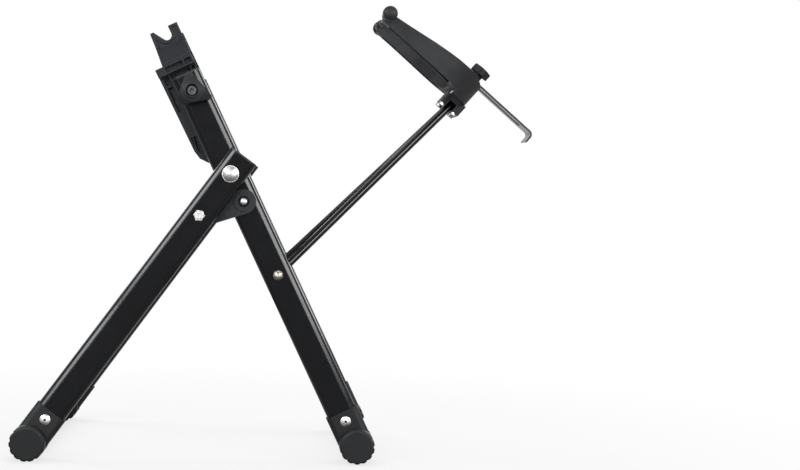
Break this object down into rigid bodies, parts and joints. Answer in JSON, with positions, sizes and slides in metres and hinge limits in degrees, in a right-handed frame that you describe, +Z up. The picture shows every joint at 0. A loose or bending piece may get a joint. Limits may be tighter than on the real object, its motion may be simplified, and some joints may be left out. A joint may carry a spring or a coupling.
{
  "type": "foldable bicycle wheel truing stand",
  "caption": "Folding X-frame stand that holds a bicycle wheel by its axle and swings a caliper with screw pointers and a sliding gauge to the rim.",
  "frame": {"origin": "on the floor under the middle of the open stand's outline", "axes": "+X from the rear feet to the caliper arm, +Y to the right-hand side (across the stand), +Z up"},
  "size_m": [0.5278, 0.291, 0.4669],
  "materials": {
    "frame_black": "gloss black powder coat",
    "cap_black": "black plastic",
    "foot_plastic": "matte black plastic",
    "bracket_plastic": "dark grey plastic, slightly bluish",
    "yoke_plastic": "matte dark grey moulding",
    "holder_plastic": "matte dark grey moulding",
    "knob_plastic": "matte dark grey moulding",
    "tip_plastic": "black plastic",
    "rod_black": "gloss black",
    "gauge_black": "semi-gloss black",
    "bright_steel": "bright zinc",
    "nickel": "nickel, slightly warm"
  },
  "bodies": {
    "front_frame": {"upright_left": "frame_black", "upright_right": "frame_black", "upright_caps": "cap_black", "front_cross_tube": "frame_black", "front_foot_left": "foot_plastic", "front_foot_right": "foot_plastic", "front_foot_rivets": "bright_steel", "pivot_bolts": "bright_steel", "pivot_nuts": "bright_steel", "pivot_bushes": "cap_black", "stop_pins": "bright_steel", "stop_pin_nuts": "bright_steel", "arm_bolts": "nickel", "arm_nuts": "bright_steel", "arm_spacers": "cap_black"},
    "rear_frame": {"rear_leg_left": "frame_black", "rear_leg_right": "frame_black", "rear_leg_caps": "cap_black", "rear_cross_tube": "frame_black", "rear_foot_left": "foot_plastic", "rear_foot_right": "foot_plastic", "rear_foot_rivets": "bright_steel", "hinge_bracket_left": "bracket_plastic", "hinge_bracket_right": "bracket_plastic", "bracket_bolts": "bright_steel", "bracket_nuts": "bright_steel"},
    "caliper_arm": {"arm_rod_left": "rod_black", "arm_rod_right": "rod_black", "clamp_block": "yoke_plastic", "clamp_screws": "bright_steel", "yoke": "yoke_plastic", "gauge_bolt": "bright_steel"},
    "gauge_plate": {"gauge_plate": "gauge_black"},
    "gauge_washer": {"gauge_washer": "bright_steel"},
    "gauge_knob": {"gauge_knob": "knob_plastic"},
    "tip_left": {"pointer_tip_left": "tip_plastic"},
    "tip_right": {"pointer_tip_right": "tip_plastic"},
    "pointer_left": {"pointer_rod_left": "bright_steel", "pointer_knob_left": "knob_plastic"},
    "pointer_right": {"pointer_rod_right": "bright_steel", "pointer_knob_right": "knob_plastic"},
    "holder_left": {"axle_holder_left": "holder_plastic", "holder_inserts_left": "bright_steel"},
    "holder_right": {"axle_holder_right": "holder_plastic", "holder_inserts_right": "bright_steel"},
    "knob_left": {"holder_knob_left": "knob_plastic", "holder_screw_left": "bright_steel"},
    "knob_right": {"holder_knob_right": "knob_plastic", "holder_screw_right": "bright_steel"}
  },
  "joints": [
    {"name": "leg_fold", "type": "hinge", "parent": "front_frame", "child": "rear_frame", "pos_m": [-0.0538, 0, 0.2895], "axis": [0, -1, 0], "range_deg": [0, 59]},
    {"name": "arm_swing", "type": "hinge", "parent": "front_frame", "child": "caliper_arm", "pos_m": [-0.00316, 0, 0.18793], "axis": [0, -1, 0], "range_deg": [-38, 30]},
    {"name": "gauge_slide", "type": "slide", "parent": "caliper_arm", "child": "gauge_plate", "axis": [-0.7593, 0, 0.6508], "range_m": [-0.015, 0.065]},
    {"name": "gauge_washer_slide", "type": "slide", "parent": "caliper_arm", "child": "gauge_washer", "axis": [0.6508, 0, 0.7593], "range_m": [0, 0.001]},
    {"name": "gauge_knob_spin", "type": "hinge", "parent": "gauge_washer", "child": "gauge_knob", "pos_m": [0.17708, 0, 0.3707], "axis": [0.6508, 0, 0.7593], "range_deg": [0, 360]},
    {"name": "tip_left_slide", "type": "slide", "parent": "caliper_arm", "child": "tip_left", "axis": [0, -1, 0], "range_m": [-0.0055, 0.023]},
    {"name": "pointer_left_spin", "type": "hinge", "parent": "tip_left", "child": "pointer_left", "pos_m": [0.10432, -0.06, 0.45915], "axis": [0, -1, 0], "range_deg": [-2829.5, 11829.5]},
    {"name": "holder_left_slide", "type": "slide", "parent": "front_frame", "child": "holder_left", "axis": [0, 1, 0], "range_m": [0, 0.005]},
    {"name": "knob_left_spin", "type": "hinge", "parent": "front_frame", "child": "knob_left", "pos_m": [-0.09485, -0.11, 0.37184], "axis": [0, -1, 0], "range_deg": [0, 1801]},
    {"name": "tip_right_slide", "type": "slide", "parent": "caliper_arm", "child": "tip_right", "axis": [0, 1, 0], "range_m": [-0.0055, 0.023]},
    {"name": "pointer_right_spin", "type": "hinge", "parent": "tip_right", "child": "pointer_right", "pos_m": [0.10432, 0.06, 0.45915], "axis": [0, 1, 0], "range_deg": [-2829.5, 11829.5]},
    {"name": "holder_right_slide", "type": "slide", "parent": "front_frame", "child": "holder_right", "axis": [0, -1, 0], "range_m": [0, 0.005]},
    {"name": "knob_right_spin", "type": "hinge", "parent": "front_frame", "child": "knob_right", "pos_m": [-0.09485, 0.11, 0.37184], "axis": [0, 1, 0], "range_deg": [0, 1801]}
  ],
  "couplings": [
    {"joint": "gauge_washer_slide", "follows": "gauge_knob_spin", "m_per_rad": 0.00015915},
    {"joint": "pointer_left_spin", "follows": "tip_left_slide", "rad_per_m": 8976},
    {"joint": "knob_left_spin", "follows": "holder_left_slide", "rad_per_m": 6283.2},
    {"joint": "pointer_right_spin", "follows": "tip_right_slide", "rad_per_m": 8976},
    {"joint": "knob_right_spin", "follows": "holder_right_slide", "rad_per_m": 6283.2}
  ]
}
